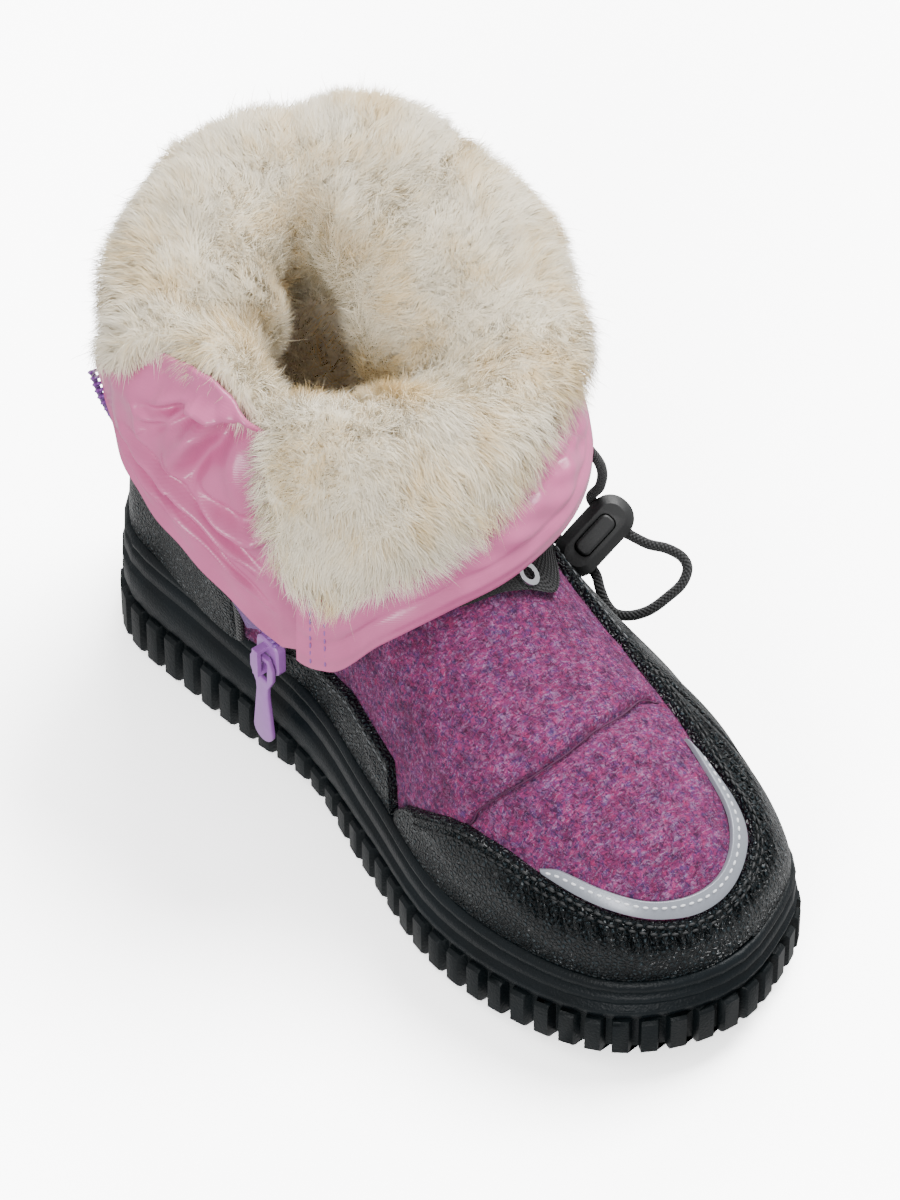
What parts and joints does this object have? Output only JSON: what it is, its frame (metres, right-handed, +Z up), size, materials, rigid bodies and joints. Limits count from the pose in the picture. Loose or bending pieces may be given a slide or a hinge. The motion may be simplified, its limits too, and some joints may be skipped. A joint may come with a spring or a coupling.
{
  "type": "child's snow boot with turned-down fur cuff",
  "caption": "Child's left snow boot: ribbed rubber sole, leather and felt foot, nylon shaft turned down as a fur cuff, open side zip, drawcord with toggle.",
  "frame": {"origin": "under the heel pad, on the floor, 45 mm ahead of the back of the sole", "axes": "+X towards the toe, +Y towards the wearer's left (lateral side), +Z up"},
  "size_m": [0.2158, 0.1163, 0.1377],
  "materials": {
    "rubber": "matte, fine moulded texture",
    "rubber_side": "matte moulded",
    "leather": "coarse grained, low sheen",
    "felt": "melange felt, fuzzy",
    "nylon": "satin, creased",
    "fur": "deep pile",
    "reflective": "satin grey film",
    "webbing": "ribbed",
    "metal": "polished",
    "zip_tape": "woven",
    "zip_plastic": "satin",
    "toggle_plastic": "matte",
    "cord": "braided"
  },
  "bodies": {
    "boot": {"outsole": "rubber", "midsole": "rubber_side", "insole": "fur", "upper": "felt", "mudguard": "leather", "heel_counter": "leather", "quarter_medial": "leather", "quarter_lateral": "leather", "reflective_strip": "reflective", "ankle_webbing": "webbing", "eyelet": "metal", "shaft": "nylon", "gusset": "nylon", "fur_lining": "fur", "zip_rear": "zip_tape", "zip_front": "zip_tape", "zip_slider": "zip_plastic", "toggle_body": "toggle_plastic", "drawcord": "cord"},
    "zip_pull": {"zip_pull": "zip_plastic"},
    "toggle_button": {"toggle_button": "toggle_plastic"}
  },
  "joints": [
    {"name": "zip_pull_swing", "type": "hinge", "parent": "boot", "child": "zip_pull", "pos_m": [0.039, -0.03685, 0.0433], "axis": [-1, 0, 0], "range_deg": [0, 100]},
    {"name": "toggle_button_press", "type": "slide", "parent": "boot", "child": "toggle_button", "axis": [-0.5516, 0.3929, -0.7358], "range_m": [0, 0.001], "stiffness_N_per_m": 400, "springref_m": -0.001}
  ]
}
